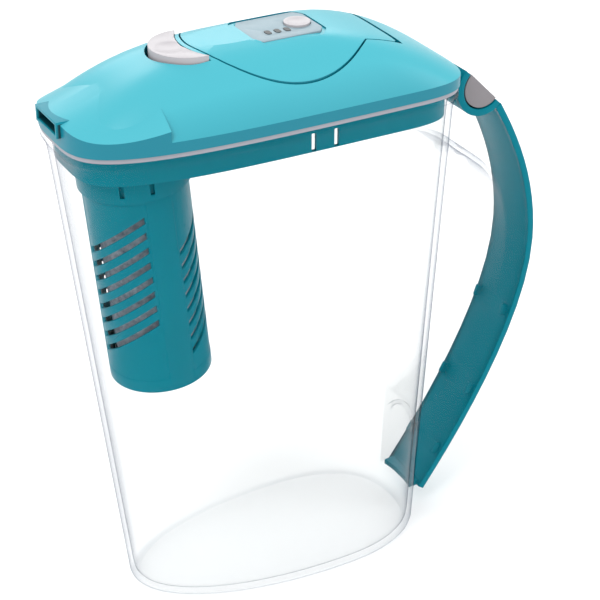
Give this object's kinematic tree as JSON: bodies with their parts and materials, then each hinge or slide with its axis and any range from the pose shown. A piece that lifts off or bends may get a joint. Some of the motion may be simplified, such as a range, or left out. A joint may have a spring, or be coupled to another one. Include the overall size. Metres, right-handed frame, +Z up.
{
  "type": "water filter pitcher with flip lid",
  "caption": "Clear oval water jug with a teal lid: flip fill door with filter indicator, spout, slotted cage holding the filter cartridge, and a grip handle with a lid release button.",
  "frame": {"origin": "on the flat base face, in the jug's symmetry plane, below the middle of the jug's mouth", "axes": "+X towards the handle, spout at -X; +Z up, the way the jug stands; +Y across the jug"},
  "size_m": [0.2524, 0.0862, 0.2831],
  "materials": {
    "clear_plastic": "clear moulded plastic, polished",
    "teal_plastic": "satin-gloss moulded plastic",
    "grey_plastic": "satin moulded plastic",
    "grey_rubber": "soft grey rubber",
    "steel": "plain spring and pin steel",
    "pale_plastic": "smooth pale plate",
    "lens_plastic": "translucent indicator lenses",
    "green_board": "solder-masked circuit board",
    "black_rubber": "black rubber",
    "grey_felt": "speckled grey felt",
    "carbon": "pressed carbon block",
    "blue_plastic": "light-blue moulded plastic"
  },
  "bodies": {
    "jug": {"pitcher_body": "clear_plastic", "handle_frame": "clear_plastic", "handle_grip": "teal_plastic", "handle_collar": "teal_plastic", "release_spring": "steel"},
    "rocker": {"release_button": "grey_plastic", "release_pin": "steel", "release_latch": "grey_plastic"},
    "lid": {"lid_shell": "teal_plastic", "lid_deck": "teal_plastic", "door_well": "teal_plastic", "lid_gasket": "grey_rubber", "spout_channel": "teal_plastic", "door_hinge_pin": "steel", "door_spring": "steel", "thumb_spring": "steel", "cage_socket": "teal_plastic", "cartridge_cap": "grey_plastic", "cartridge_o_ring": "black_rubber", "felt_sleeve": "grey_felt", "carbon_core": "carbon", "cartridge_foot": "grey_plastic", "foot_band": "black_rubber", "inlet_insert": "blue_plastic"},
    "door": {"flip_door": "teal_plastic", "door_seal": "grey_rubber", "indicator_housing": "teal_plastic", "indicator_plate": "pale_plastic", "led_lens_left": "lens_plastic", "led_lens_middle": "lens_plastic", "led_lens_right": "lens_plastic", "circuit_board": "green_board", "coin_cell": "steel", "battery_cover": "teal_plastic"},
    "thumb": {"thumb_button": "grey_plastic"},
    "key": {"indicator_button": "grey_plastic"},
    "cage": {"filter_cage": "teal_plastic"}
  },
  "joints": [
    {"name": "lid_lift", "type": "slide", "parent": "jug", "child": "lid", "axis": [0, 0, 1], "range_m": [0, 0.14]},
    {"name": "door_hinge", "type": "hinge", "parent": "lid", "child": "door", "pos_m": [0.0616, 0, 0.269], "axis": [0, 1, 0], "range_deg": [0, 88]},
    {"name": "thumb_slide", "type": "slide", "parent": "lid", "child": "thumb", "axis": [-0.4472, 0, -0.8944], "range_m": [0, 0.0022], "stiffness_N_per_m": 300, "springref_m": -0.001},
    {"name": "indicator_press", "type": "slide", "parent": "door", "child": "key", "axis": [0, 0, -1], "range_m": [0, 0.0007], "stiffness_N_per_m": 600, "springref_m": -0.0005},
    {"name": "rocker_turn", "type": "hinge", "parent": "jug", "child": "rocker", "pos_m": [0.11492, 0, 0.23302], "axis": [0, -1, 0], "range_deg": [0, 5], "stiffness_Nm_per_rad": 0.08, "springref_deg": -5.73},
    {"name": "cage_slide", "type": "slide", "parent": "lid", "child": "cage", "axis": [0.0854, 0, -0.9963], "range_m": [0, 0.11]}
  ]
}
